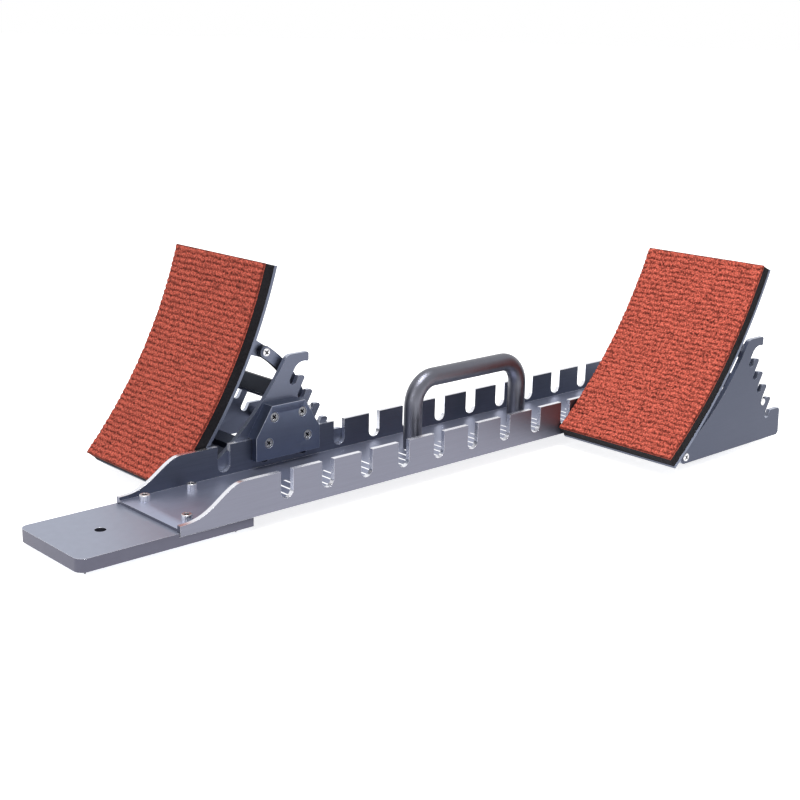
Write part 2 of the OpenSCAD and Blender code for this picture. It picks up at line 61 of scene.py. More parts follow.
nodes = frame["nodes"]
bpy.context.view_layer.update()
joints = {j["name"]: j for j in frame["joints"]}
mm = 0.001

# numbers both pedals share, in millimetres, as in the part's source
padForm = {
    "chord": 240, "sagitta": 14, "set": 36, "heel": 17.5, "width": 153, "start": 1.5,
    "treadThick": 2.5, "coreThick": 11.5, "pivotAngle": 6.2,
}
railForm = {"half": 53, "bottom": 18.5, "floor": 3}
railFloorTop = railForm["bottom"] + railForm["floor"]

# the pads' arc, on the foot side: its radius, half of its angle and of its length, and its centre, along
# the chord and out from the hinge
arcRadius = (padForm["chord"] ** 2 / 4 + padForm["sagitta"] ** 2) / (2 * padForm["sagitta"])
arcHalf = math.asin(padForm["chord"] / 2 / arcRadius)
halfLength = arcHalf * arcRadius
arcCentre = (padForm["chord"] / 2 - padForm["heel"], padForm["set"] - padForm["sagitta"] + arcRadius)


def pedalFrame(side):
    # hinge and prop pivot come from the joints; the pad's angle is their line plus the pivot angle
    hinge = np.array(joints[side + "_tilt"]["pos_m"]) / mm
    pivot = np.array(joints[side + "_prop_swing"]["pos_m"]) / mm
    angle = math.atan2(pivot[2] - hinge[2], pivot[0] - hinge[0]) + math.radians(padForm["pivotAngle"])
    return {"hinge": hinge, "pivot": pivot, "angle": angle, "sign": 1 if side == "front" else -1}


def padToWorld(side, along, across, out):
    # pad plane: along the chord, across the rail, and out towards the foot, turned about the hinge by the
    # pad's angle
    f = pedalFrame(side)
    c, s = math.cos(f["angle"]), math.sin(f["angle"])
    return np.stack([
        f["hinge"][0] + along * c - out * s,
        f["sign"] * (railForm["half"] + across),
        f["hinge"][2] + along * s + out * c,
    ], axis=-1) * mm


def onArc(side, radius, angle, across):
    # a point at a radius and angle of the pads' arc, and at a distance from the pad's edge next to the rail
    return padToWorld(side, arcCentre[0] + radius * np.sin(angle), padForm["start"] + across,
                      arcCentre[1] - radius * np.cos(angle))


# mesh helpers
def objectFrom(name, body, mesh, material):
    piece = bpy.data.objects.new(name, mesh)
    scene.collection.objects.link(piece)
    mesh.materials.append(material)
    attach(piece, body)
    return piece


def closedShells(name, grids, values=None):
    # every grid is rows of rings. Rings close on themselves, and the first and last row are collapsed
    # rings, which close the shell
    points, faces, count = [], [], 0
    for g in grids:
        rows, ring = g.shape[:2]
        i, j = np.meshgrid(np.arange(rows - 1), np.arange(ring), indexing="ij")
        k = (j + 1) % ring
        quads = np.stack([i * ring + j, i * ring + k, (i + 1) * ring + k, (i + 1) * ring + j], axis=-1)
        faces.append(quads.reshape(-1, 4) + count)
        points.append(g.reshape(-1, 3))
        count += rows * ring
    points, faces = np.concatenate(points), np.concatenate(faces)
    mesh = bpy.data.meshes.new(name)
    mesh.from_pydata(points.tolist(), [], faces.tolist())
    if values is not None:
        # the values carry painted shade: dark in the treads' furrows and in the screws' recesses
        layer = mesh.attributes.new("reliefShade", "FLOAT", "POINT")
        layer.data.foreach_set("value", np.concatenate([v.reshape(-1) for v in values]).astype(np.float32))
    weld, sliver = 1e-6, 1e-7  # metres
    work = bmesh.new()
    work.from_mesh(mesh)
    bmesh.ops.remove_doubles(work, verts=work.verts, dist=weld)
    bmesh.ops.dissolve_degenerate(work, edges=work.edges, dist=sliver)
    bmesh.ops.recalc_face_normals(work, faces=work.faces)
    work.to_mesh(mesh)
    work.free()
    return mesh


def smoothByAngle(mesh, degrees):
    mesh.polygons.foreach_set("use_smooth", np.ones(len(mesh.polygons), bool))
    mesh.set_sharp_from_angle(angle=math.radians(degrees))


def valueNoise(x, y, cell, seed):
    # smooth noise from -1 to 1: random values on a square lattice, blended with a cubic step
    x, y = x / cell, y / cell
    ix, iy = np.floor(x).astype(int), np.floor(y).astype(int)
    ix0, iy0 = ix.min(), iy.min()
    lattice = np.random.default_rng(seed).uniform(-1, 1, (ix.max() - ix0 + 2, iy.max() - iy0 + 2))
    fx, fy = x - ix, y - iy
    fx, fy = fx * fx * (3 - 2 * fx), fy * fy * (3 - 2 * fy)
    a, b = ix - ix0, iy - iy0
    low = lattice[a, b] * (1 - fx) + lattice[a + 1, b] * fx
    high = lattice[a, b + 1] * (1 - fx) + lattice[a + 1, b + 1] * fx
    return low * (1 - fy) + high * fy


# shader helpers
def addNode(tree, kind, **settings):
    node = tree.nodes.new(kind)
    for key, value in settings.items():
        setattr(node, key, value)
    return node


def put(node, **values):
    for key, value in values.items():
        node.inputs[key.replace("_", " ")].default_value = value


def feed(tree, value, socket):
    # another node's socket is linked, and a number or colour is set
    if isinstance(value, bpy.types.NodeSocket):
        tree.links.new(value, socket)
    else:
        socket.default_value = value


def newGroup(name, inputs, outputs):
    tree = bpy.data.node_groups.new(name, "ShaderNodeTree")
    for label, kind, value in inputs:
        tree.interface.new_socket(label, in_out="INPUT", socket_type=kind).default_value = value
    for label, kind in outputs:
        tree.interface.new_socket(label, in_out="OUTPUT", socket_type=kind)
    return tree, addNode(tree, "NodeGroupInput"), addNode(tree, "NodeGroupOutput")


def mathNode(tree, how, a, b):
    node = addNode(tree, "ShaderNodeMath", operation=how)
    feed(tree, a, node.inputs[0])
    feed(tree, b, node.inputs[1])
    return node.outputs[0]


def centred(tree, noise, strength):
    # noise from 0 to 1, moved to run about zero and made as strong as asked
    return mathNode(tree, "MULTIPLY", mathNode(tree, "SUBTRACT", noise, 0.5), strength)


def mixColours(tree, how, factor, a, b):
    node = addNode(tree, "ShaderNodeMix", data_type="RGBA", blend_type=how)
    for index, value in ((0, factor), (6, a), (7, b)):  # a Mix node takes its colours at inputs 6 and 7
        feed(tree, value, node.inputs[index])
    return node.outputs[2]


def scaledColour(tree, colour, level):
    grey = addNode(tree, "ShaderNodeCombineColor")
    for socket in grey.inputs:
        tree.links.new(level, socket)
    return mixColours(tree, "MULTIPLY", 1.0, colour, grey.outputs[0])


def noiseTexture(tree, vector, detail, **values):
    noise = addNode(tree, "ShaderNodeTexNoise")
    put(noise, Detail=detail, **values)
    tree.links.new(vector, noise.inputs["Vector"])
    return noise


def brushedGroup():
    # brushed metal: noise drawn out along the rail, as a height and as a shift of colour and roughness
    tree, start, end = newGroup("brushedGrain", [
        ("Colour", "NodeSocketColor", (0.4, 0.4, 0.45, 1)), ("Roughness", "NodeSocketFloat", 0.35),
        ("Streaks", "NodeSocketFloat", 0.12), ("Smudges", "NodeSocketFloat", 0.1),
    ], [("Colour", "NodeSocketColor"), ("Roughness", "NodeSocketFloat"), ("Height", "NodeSocketFloat")])
    place = addNode(tree, "ShaderNodeTexCoord")
    stretch = addNode(tree, "ShaderNodeMapping")
    put(stretch, Scale=(22, 900, 900))
    tree.links.new(place.outputs["Object"], stretch.inputs["Vector"])
    streak = noiseTexture(tree, stretch.outputs[0], 3.0, Scale=1.0, Roughness=0.6)
    cloud = noiseTexture(tree, place.outputs["Object"], 4.0, Scale=24.0, Roughness=0.65)
    streakShift = centred(tree, streak.outputs["Fac"], start.outputs["Streaks"])
    cloudShift = centred(tree, cloud.outputs["Fac"], start.outputs["Smudges"])
    level = mathNode(tree, "ADD", mathNode(tree, "ADD", streakShift, cloudShift), 1.0)
    roughness = mathNode(tree, "ADD", start.outputs["Roughness"], cloudShift)
    tree.links.new(scaledColour(tree, start.outputs["Colour"], level), end.inputs["Colour"])
    tree.links.new(roughness, end.inputs["Roughness"])
    tree.links.new(streak.outputs["Fac"], end.inputs["Height"])
    return tree


def grainGroup():
    # cast, sprayed or moulded skin: round grains with hollows between them, and a slow mottle under them
    tree, start, end = newGroup("coarseGrain", [
        ("Colour", "NodeSocketColor", (0.2, 0.2, 0.2, 1)), ("Size", "NodeSocketFloat", 700.0),
        ("Mottle", "NodeSocketFloat", 0.15),
    ], [("Colour", "NodeSocketColor"), ("Height", "NodeSocketFloat"), ("Hollow", "NodeSocketFloat")])
    place = addNode(tree, "ShaderNodeTexCoord")
    grain = addNode(tree, "ShaderNodeTexVoronoi")
    tree.links.new(place.outputs["Object"], grain.inputs["Vector"])
    tree.links.new(start.outputs["Size"], grain.inputs["Scale"])
    mottle = noiseTexture(tree, place.outputs["Object"], 3.0)
    slower = 0.08  # the mottle's scale, as a share of the grains'
    tree.links.new(mathNode(tree, "MULTIPLY", start.outputs["Size"], slower), mottle.inputs["Scale"])
    level = mathNode(tree, "ADD", centred(tree, mottle.outputs["Fac"], start.outputs["Mottle"]), 1.0)
    height = mathNode(tree, "SUBTRACT", mottle.outputs["Fac"], grain.outputs["Distance"])
    tree.links.new(scaledColour(tree, start.outputs["Colour"], level), end.inputs["Colour"])
    tree.links.new(height, end.inputs["Height"])
    tree.links.new(grain.outputs["Distance"], end.inputs["Hollow"])
    return tree


brushedGrain = brushedGroup()
coarseGrain = grainGroup()
brushDepth = 0.0002  # metres from the bottom to the top of a brushed line


def emptyMaterial(name):
    material = bpy.data.materials.new(name)
    material.use_nodes = True
    tree = material.node_tree
    return material, tree, tree.nodes["Principled BSDF"]


def bumpFrom(tree, shader, height, strength, distance):
    bump = addNode(tree, "ShaderNodeBump")
    put(bump, Strength=strength, Distance=distance)
    tree.links.new(height, bump.inputs["Height"])
    tree.links.new(bump.outputs[0], shader.inputs["Normal"])


def brushedMetal(name, colour, roughness, streaks=0.3, smudges=0.12, strength=0.12):
    material, tree, shader = emptyMaterial(name)
    group = addNode(tree, "ShaderNodeGroup", node_tree=brushedGrain)
    put(group, Colour=(*colour, 1), Roughness=roughness, Streaks=streaks, Smudges=smudges)
    tree.links.new(group.outputs["Colour"], shader.inputs["Base Color"])
    tree.links.new(group.outputs["Roughness"], shader.inputs["Roughness"])
    put(shader, Metallic=1.0)
    bumpFrom(tree, shader, group.outputs["Height"], strength, brushDepth)
    return material


def grainedSkin(name, colour, roughness, metallic=0.0, size=700.0, mottle=0.2, strength=0.3,
                distance=0.0003, specular=0.5):
    material, tree, shader = emptyMaterial(name)
    group = addNode(tree, "ShaderNodeGroup", node_tree=coarseGrain)
    put(group, Colour=(*colour, 1), Size=size, Mottle=mottle)
    tree.links.new(group.outputs["Colour"], shader.inputs["Base Color"])
    put(shader, Roughness=roughness, Metallic=metallic, Specular_IOR_Level=specular)
    bumpFrom(tree, shader, group.outputs["Height"], strength, distance)
    return material


def screwMetal(name, colour, roughness):
    # bare in the open, and painted dark in the recess as painted shade
    # painted shade: the dark colour put into the recess
    recessShade = (0.012, 0.012, 0.014, 1)
    material, tree, shader = emptyMaterial(name)
    reliefShade = addNode(tree, "ShaderNodeAttribute", attribute_name="reliefShade")
    group = addNode(tree, "ShaderNodeGroup", node_tree=brushedGrain)
    put(group, Colour=(*colour, 1), Roughness=roughness, Streaks=0.15, Smudges=0.25)
    shown = mixColours(tree, "MIX", reliefShade.outputs["Fac"], recessShade, group.outputs["Colour"])
    tree.links.new(shown, shader.inputs["Base Color"])
    tree.links.new(group.outputs["Roughness"], shader.inputs["Roughness"])
    put(shader, Metallic=1.0)
    bumpFrom(tree, shader, group.outputs["Height"], strength=0.05, distance=brushDepth)
    return material


treadSkin = {
    # colours in the furrows, on the flanks and on the ribs, and where in the relief they stand: the dark
    # furrows are painted shade
    "stops": ((0, (0.16, 0.027, 0.018)), (0.4, (0.46, 0.087, 0.057)), (1, (0.62, 0.133, 0.09))),
    "size": 540.0, "mottle": 0.15, "crumbLitTop": 1.83, "crumbShadeFall": -1.6,
    "roughness": 0.9, "specular": 0.2, "bump": 0.9, "depth": 0.0007,
}


def treadMaterial(name, lightLevel):
    # red crumb rubber: painted shade darkens the furrows, and the ribs are paler and dusty
    material, tree, shader = emptyMaterial(name)
    height = addNode(tree, "ShaderNodeAttribute", attribute_name="reliefShade")
    ramp = addNode(tree, "ShaderNodeValToRGB")
    ramp.color_ramp.elements.new(treadSkin["stops"][1][0])
    for stop, (place, colour) in zip(ramp.color_ramp.elements, treadSkin["stops"]):
        stop.position, stop.color = place, (*(lightLevel * c for c in colour), 1)
    tree.links.new(height.outputs["Fac"], ramp.inputs["Fac"])
    group = addNode(tree, "ShaderNodeGroup", node_tree=coarseGrain)
    put(group, Size=treadSkin["size"], Mottle=treadSkin["mottle"])
    tree.links.new(ramp.outputs["Color"], group.inputs["Colour"])
    # each crumb is painted paler on top and darker in the hollows round it, as painted highlight and shade
    hollowShade = mathNode(tree, "MULTIPLY", group.outputs["Hollow"], treadSkin["crumbShadeFall"])
    level = mathNode(tree, "ADD", hollowShade, treadSkin["crumbLitTop"])
    tree.links.new(scaledColour(tree, group.outputs["Colour"], level), shader.inputs["Base Color"])
    put(shader, Roughness=treadSkin["roughness"], Specular_IOR_Level=treadSkin["specular"])
    bumpFrom(tree, shader, group.outputs["Height"], treadSkin["bump"], treadSkin["depth"])
    return material


finishes = {
    "rail": brushedMetal("railAnodised", (0.165, 0.169, 0.21), 0.42, streaks=0.18),
    # one anodised rail: the floor's top is painted paler as painted light, and the two faces across the
    # floor darker as painted shade
    "railFloorLit": brushedMetal("railFloorLit", (0.36, 0.385, 0.5), 0.42, streaks=0.2),
    "railInsideShaded": brushedMetal("railInsideShaded", (0.1, 0.112, 0.15), 0.46),
    "plate": grainedSkin("plateSatin", (0.32, 0.345, 0.43), 0.42, 0.9, size=1500.0, mottle=0.12,
                         strength=0.1),
    # one plate metal: its sides are painted darker as painted shade
    "shadedPlateSide": grainedSkin("shadedPlateSide", (0.09, 0.09, 0.12), 0.42, 0.9, size=1500.0, mottle=0.12,
                             strength=0.1),
    "cheek": brushedMetal("cheekAnodised", (0.135, 0.15, 0.2), 0.4, streaks=0.12),
    # the outer cheeks are the inner cheeks' metal painted darker, a painted shade
    "outerCheekShaded": brushedMetal("outerCheekShadedAnodised", (0.063, 0.071, 0.103), 0.4, streaks=0.12),
    "block": brushedMetal("blockAnodised", (0.118, 0.139, 0.202), 0.4, streaks=0.1),
    "dark": grainedSkin("darkSteel", (0.035, 0.04, 0.055), 0.4, 0.8, size=1200.0, strength=0.12),
    "handle": grainedSkin("handleCoat", (0.135, 0.138, 0.165), 0.3, 0.9, size=1500.0, mottle=0.15,
                          strength=0.35),
    "steel": brushedMetal("brightSteel", (0.66, 0.66, 0.68), 0.25, streaks=0.1, smudges=0.1, strength=0.04),
    # the edge finishes are paler than the faces, a painted highlight on the bevelled edges
    "cut": brushedMetal("milledEdgeHighlight", (0.86, 0.87, 0.92), 0.26, streaks=0.2, strength=0.05),
    "cheekCutHighlight": brushedMetal("cheekEdgeHighlight", (0.48, 0.51, 0.6), 0.32, streaks=0.2, strength=0.05),
    "screw": screwMetal("screwSteel", (0.62, 0.62, 0.64), 0.28),
    "darkScrew": screwMetal("darkScrewSteel", (0.34, 0.345, 0.36), 0.35),
    "spike": brushedMetal("spikeSteel", (0.16, 0.16, 0.17), 0.4),
    "rubber": grainedSkin("blackRubber", (0.012, 0.011, 0.013), 0.8, size=420.0, mottle=0.8, strength=0.8,
                          distance=0.0008, specular=0.15),
    # both pads are one rubber: the front is painted darker as painted shade, the rear paler as painted
    # light
    "frontTread": treadMaterial("frontTreadRubberShaded", 0.77),
    "rearTread": treadMaterial("rearTreadRubberLit", 0.94),
    "ink": grainedSkin("whiteInk", (0.95, 0.95, 0.97), 0.6, size=900.0, strength=0.1),
}
print("materials made")


# rigid pieces: each CAD solid with its edges broken, so that they catch the light. A row has the finish of
# the faces, the finish of the edges and the width of the edges in millimetres
# the paler edge finishes paint a highlight along the bevels
edgeBreaks = {
    "rail": ("rail", "cut", 1.2), "front_plate": ("plate", "cut", 1.0), "rear_plate": ("plate", "cut", 1.0),
    "inner_cheek": ("cheek", "cheekCutHighlight", 0.8), "outer_cheek": ("outerCheekShaded", "cheekCutHighlight", 0.8),
    "lock_block": ("block", "cheekCutHighlight", 0.8), "base_tie": ("cheek", "cheekCutHighlight", 0.5),
    "upper_tie": ("cheek", "cheekCutHighlight", 0.5), "pad_back": ("cheek", "cheek", 0.4),
    "hinge_lugs": ("cheek", "cheek", 0.4), "prop_lugs": ("cheek", "cheek", 0.4),
    "inner_arm": ("cheek", "dark", 0.5), "outer_arm": ("cheek", "dark", 0.5),
    "prop_tie": ("dark", "dark", 0.4), "prop_rod": ("steel", "steel", 0.5),
}
moreFinishes = {"rail": ("railInsideShaded", "railFloorLit"), "plate": ("shadedPlateSide",)}
sawn = {"rail", "inner_cheek", "outer_cheek", "inner_arm", "outer_arm"}  # their outline is cut along Y
edgeLook = {
    # metres within which corners are merged, degrees within which faces are one flat, degrees from which an
    # edge is broken, and the steps across it
    "merge": 2e-6, "flat": 0.4, "angle": 40, "steps": 2,
    # parts of a normal: at most this up on a plate's side, at most this across on a cut face, at least this
    # towards a side that it faces; and millimetres over the rail's floor up to which a face belongs to it
    "shadedPlateSide": 0.5, "cut": 0.3, "facing": 0.9, "floorBand": 0.5,
}


def facesOf(mesh, what):
    values = np.empty(len(mesh.polygons) * 3, np.float32)
    mesh.polygons.foreach_get(what, values)
    return values.reshape(-1, 3)


def millFaces(mesh, short):
    # a face of the outline has a normal square to Y, and on the rail it stands clear of the floor. The
    # third finish, darker, is painted shade for the rail's two faces that look at each other across the
    # floor and for the sides of the plates, and the fourth, paler, is painted light for the top of the
    # floor
    normals, centres = facesOf(mesh, "normal"), facesOf(mesh, "center")
    if short == "plate":
        index = 2 * (np.abs(normals[:, 2]) < edgeLook["shadedPlateSide"]).astype(np.int32)
    else:
        index = (np.abs(normals[:, 1]) < edgeLook["cut"]).astype(np.int32)
    if short == "rail":
        facing = edgeLook["facing"]
        low = centres[:, 2] < (railFloorTop + edgeLook["floorBand"]) * mm
        index[low] = 0
        index[low & (normals[:, 2] > facing)] = 3
        index[normals[:, 1] * centres[:, 1] < -facing * np.abs(centres[:, 1])] = 2
    mesh.polygons.foreach_set("material_index", index)


def softCopy(node, short, finish, edge, width):
    # the CAD solid with its flats made whole and its sharp edges bevelled
    mesh = nodes[node].data.copy()
    mesh.name = node + "Edged"
    work = bmesh.new()
    work.from_mesh(mesh)
    bmesh.ops.remove_doubles(work, verts=work.verts, dist=edgeLook["merge"])
    flat = math.radians(edgeLook["flat"])
    bmesh.ops.dissolve_limit(work, angle_limit=flat, verts=work.verts, edges=work.edges)
    work.to_mesh(mesh)
    work.free()
    mesh.materials.clear()
    piece = objectFrom(node + "Edged", nodes[node]["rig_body"], mesh, finishes[finish])
    for extra in (edge, *moreFinishes.get(short, ())):
        mesh.materials.append(finishes[extra])
    if short in sawn or short in moreFinishes:
        millFaces(mesh, short)
    smoothByAngle(mesh, edgeLook["angle"])
    bevel = piece.modifiers.new("edges", "BEVEL")
    bevel.material = 1
    bevel.width, bevel.segments = width * mm, edgeLook["steps"]
    bevel.limit_method, bevel.angle_limit = "ANGLE", math.radians(edgeLook["angle"])
    bevel.harden_normals, bevel.use_clamp_overlap = True, True
    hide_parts(node)


for node in list(nodes):
    short = node.split("_", 1)[1] if node.startswith(("front_", "rear_")) else node
    look = edgeBreaks.get(node) or edgeBreaks.get(short)
    if look:
        softCopy(node, short, *look)
print("edges broken on the metal pieces")


# treads: heights and lengths in millimetres. A pair is the strength of a layer of noise and its cell
treadLook = {
    "ribs": 40, "acrossCells": 225, "alongCells": 420, "smooth": 60,
    "shiver": (0.1, 2.8), "broken": (0.1, 3.4), "speckle": (0.12, 1.4), "ragged": (0.25, 2.2),
    "wholeRib": 0.85, "deepest": -0.5, "proudest": 0.55, "edgeDrop": 0.9, "edgeWidth": 1.6,
    # the tread's painted shade reaches its palest this far over a rib's own height
    "palest": 0.3,  # over a rib's own height, where the rubber is at its palest
    "backShade": 0.5,
    "front": {"ribHeight": 0.95, "wander": (0.14, 9), "grain": (0.12, 2.2), "fine": (0.38, 1.3)},
    "rear": {"ribHeight": 0.7, "wander": (0.24, 9), "grain": (0.15, 2.2), "fine": (0.42, 1.3)},
}


def treadGrid(side, seed):
    # ring: foot side from one edge to the other, then the back; rows run up the arc. A rib is the root of
    # a lifted cosine of the arc length, whose phase wanders across the pad. Crumbs are two sizes of value
    # noise, and near an edge the surface falls with the square of the way to it
    worn = treadLook[side]
    across = np.linspace(0, padForm["width"], treadLook["acrossCells"])
    angle = np.linspace(-arcHalf, arcHalf, treadLook["alongCells"])
    a, y = np.meshgrid(angle, across, indexing="ij")
    arc = a * arcRadius

    def layer(pair, step):
        return pair[0] * valueNoise(y, arc, pair[1], seed + step)

    phase = (arc + halfLength) / (2 * halfLength) * treadLook["ribs"]
    phase = phase + layer(worn["wander"], 0) + layer(treadLook["shiver"], 1)
    rib = np.sqrt(0.5 - 0.5 * np.cos(2 * math.pi * phase))
    crumb = layer(worn["grain"], 2) + layer(worn["fine"], 3)
    broken = treadLook["wholeRib"] + layer(treadLook["broken"], 4)
    height = np.clip(worn["ribHeight"] * rib * broken + crumb, treadLook["deepest"],
                     worn["ribHeight"] + treadLook["proudest"])
    toEnd = np.minimum(arc + halfLength, halfLength - arc)
    edge = np.minimum(np.minimum(y, padForm["width"] - y), toEnd)
    height = height - treadLook["edgeDrop"] * np.clip(1 - edge / treadLook["edgeWidth"], 0, 1) ** 2
    # painted shade: the lower the rubber lies, the darker it is painted, with a speckle of tone over it
    shade = height / (worn["ribHeight"] + treadLook["palest"]) + layer(treadLook["speckle"], 6)
    strength, cell = treadLook["ragged"]
    ragged = strength * valueNoise(arc, 0 * arc, cell, seed + 5)
    yWorn = y + np.where(y == 0, 1, 0) * ragged - np.where(y == padForm["width"], 1, 0) * ragged
    footRing = onArc(side, arcRadius - height, a, yWorn)
    ends = [0, -1]
    backRing = onArc(side, arcRadius + padForm["treadThick"], a[:, ends], y[:, ends])[:, ::-1]
    ring = np.concatenate([footRing, backRing], axis=1)
    back = treadLook["backShade"]
    value = np.concatenate([np.clip(shade, 0, 1), np.full((len(angle), 2), back)], axis=1)
    # end caps: a row in which the foot side has moved onto the back
    caps = []
    for row in ends:
        cap = ring[row].copy()
        t = np.linspace(0, 1, treadLook["acrossCells"])[:, None]
        cap[:-2] = cap[-1] * (1 - t) + cap[-2] * t
        caps.append(cap)
    ring = np.concatenate([caps[0][None], ring, caps[1][None]])
    capValue = np.full((1, value.shape[1]), back)
    return ring, np.concatenate([capValue, value, capValue])


coreLook = {
    "rough": 0.45, "roughCell": 1.9, "chip": 2.0, "chipCell": 6.5, "chipFrom": 0.55, "proudest": 0.35,
    "inset": 0.45, "acrossCells": 90, "deepCells": 9, "alongCells": 170, "capCells": 5, "smooth": 50,
    "rim": 0.98,  # share of the way from the middle, past which a point lies on an edge of the slab
    "otherSide": 40,  # millimetres by which the noise moves on for the far side and the upper end
}


def coreGrid(side, seed):
    # a slab round the same arc: each row is a rectangle of width by thickness. Noise over length and depth
    # moves the long sides in and out, noise over width and depth the two ends, and chips are the highest
    # parts of a second noise, taken away
    length, width, thick = 2 * halfLength, padForm["width"], padForm["coreThick"]
    w, d = np.linspace(0, 1, coreLook["acrossCells"]), np.linspace(0, 1, coreLook["deepCells"])
    ringW = np.concatenate([w, np.ones(len(d) - 2), w[::-1], np.zeros(len(d) - 2)])
    ringD = np.concatenate([np.zeros(len(w)), d[1:-1], np.ones(len(w)), d[::-1][1:-1]])
    shrink = np.linspace(1, 0, coreLook["capCells"])[1:]
    inner = np.linspace(0, 1, coreLook["alongCells"])
    along = np.concatenate([np.zeros(len(shrink)), inner, np.ones(len(shrink))])
    deep = np.concatenate([shrink[::-1], np.ones(len(inner)), shrink])
    a, y = np.meshgrid(along, ringW, indexing="ij")
    depth = 0.5 + (ringD[None] - 0.5) * deep[:, None]
    rim, otherSide = coreLook["rim"], coreLook["otherSide"]

    def worn(u, v, step):
        rough = coreLook["rough"] * valueNoise(u, v, coreLook["roughCell"], seed + step)
        chips = valueNoise(u, v, coreLook["chipCell"], seed + step + 1) - coreLook["chipFrom"]
        surface = rough - coreLook["chip"] * np.clip(chips, 0, 1)
        return np.minimum(surface, coreLook["proudest"]) - coreLook["inset"]

    sideways = worn(a * length, depth * thick + otherSide * (y > 0.5), 2)
    endways = worn(y * width, depth * thick + otherSide * (a > 0.5), 6)
    across, up = 2 * y - 1, 2 * a - 1
    yNow = y * width + across * sideways * (np.abs(across) > rim)
    arc = (a - 0.5) * length + up * endways * (np.abs(up) > rim)
    return onArc(side, arcRadius + padForm["treadThick"] + depth * thick, arc / arcRadius, yNow)


padSeeds = {"front": 11, "rear": 47}
coreSeed = 100  # keeps the core's noise apart from the tread's
for side, seed in padSeeds.items():
    coreMesh = closedShells(side + "Core", [coreGrid(side, seed + coreSeed)])
    smoothByAngle(coreMesh, coreLook["smooth"])
    core = objectFrom(side + "Core", side + "_pad", coreMesh, finishes["rubber"])
    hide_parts(side + "_pad_core")
    ring, value = treadGrid(side, seed)
    mesh = closedShells(side + "Tread", [ring], [value])
    smoothByAngle(mesh, treadLook["smooth"])
    tread = objectFrom(side + "Tread", side + "_pad", mesh, finishes[side + "Tread"])
    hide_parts(side + "_pad_tread")
print("treads made")


# screws: cells from the rim to the middle of the top and round the turn, and the chamfer of a shank's end
screwLook = {
    "rings": 30, "turn": 72, "smooth": 42, "chamfer": 0.4,
    # the recess only lowers what is over this share of the head, and its painted shade fills it this much
    # sooner
    "sinkFrom": 0.5, "recessShade": 1.5,
    # the knurl is past this share of the radius; walls of a cross slope over these shares of its width and
    # reach, and those of a hexagon over this many millimetres
    "knurlFrom": 0.97, "crossFlank": 0.18, "crossEnd": 0.3, "hexWall": 0.25,
}


def turned(centre, axis, profile, recess=None, ripple=0.0, ripples=0):
    # a profile of (radius, height) turned about an axis. The recess lowers the top, and ripples are a
    # cosine round the side, which knurls it
    axis = Vector(axis).normalized()
    side = axis.orthogonal().normalized()
    other = axis.cross(side)
    theta = np.linspace(0, 2 * math.pi, screwLook["turn"], endpoint=False)
    r, h = np.array(profile, float).T
    rr, tt = np.meshgrid(r, theta, indexing="ij")
    hh = np.repeat(h[:, None], len(theta), axis=1)
    x, y = rr * np.cos(tt), rr * np.sin(tt)
    reliefShade = np.ones_like(hh)
    if recess:
        sunk = recess(x, y) * (hh > h.max() * screwLook["sinkFrom"])
        # painted shade: the deeper the recess, the darker it is painted
        hh, reliefShade = hh - sunk, 1 - np.clip(sunk / sunk.max() * screwLook["recessShade"], 0, 1)
    if ripples:
        knurled = rr > r.max() * screwLook["knurlFrom"]
        grow = 1 + ripple / np.maximum(rr, 1e-6) * np.cos(ripples * tt) * knurled
        x, y = x * grow, y * grow
    base = np.array([side, other, axis])
    return (np.stack([x, y, hh], axis=-1) @ base + np.array(centre)) * mm, reliefShade


def crossRecess(width, reach, depth):
    # a cross with sloping walls: the smaller of |x| and |y| sets the flank, and the larger the arm's end
    def lower(x, y):
        arm = np.minimum(np.abs(x), np.abs(y))
        far = np.maximum(np.abs(x), np.abs(y))
        flank = np.clip((width / 2 - arm) / (width * screwLook["crossFlank"]), 0, 1)
        return depth * flank * np.clip((reach - far) / (reach * screwLook["crossEnd"]), 0, 1)
    return lower


def hexRecess(flat, depth):
    # a hexagon with steep walls: the largest of the distances along its three normals sets the wall
    turns = (0, math.pi / 3, 2 * math.pi / 3)

    def lower(x, y):
        far = np.maximum.reduce([np.abs(x * math.cos(k) + y * math.sin(k)) for k in turns])
        return depth * np.clip((flat / 2 - far) / screwLook["hexWall"] + 0.5, 0, 1)
    return lower


def screwProfile(radius, height, bend, shank, reach):
    # from the middle of the shank's end, up the shank, over the head's rounded rim and in to the middle of
    # its top
    t = np.linspace(0, math.pi / 2, 6)
    point = screwLook["chamfer"]
    rim = [(radius - bend + bend * math.cos(k), height - bend + bend * math.sin(k)) for k in t]
    top = [(s, height) for s in np.linspace(radius - bend, 0, screwLook["rings"])[1:]]
    shaft = [(0, -reach), (shank - point, -reach), (shank, point - reach), (shank, 0)]
    return shaft + [(radius, 0)] + rim + top


def screwPiece(name, body, heads, node, finish="screw"):
    mesh = closedShells(name, [grid for grid, reliefShade in heads], [reliefShade for grid, reliefShade in heads])
    smoothByAngle(mesh, screwLook["smooth"])
    piece = objectFrom(name, body, mesh, finishes[finish])
    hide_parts(node)


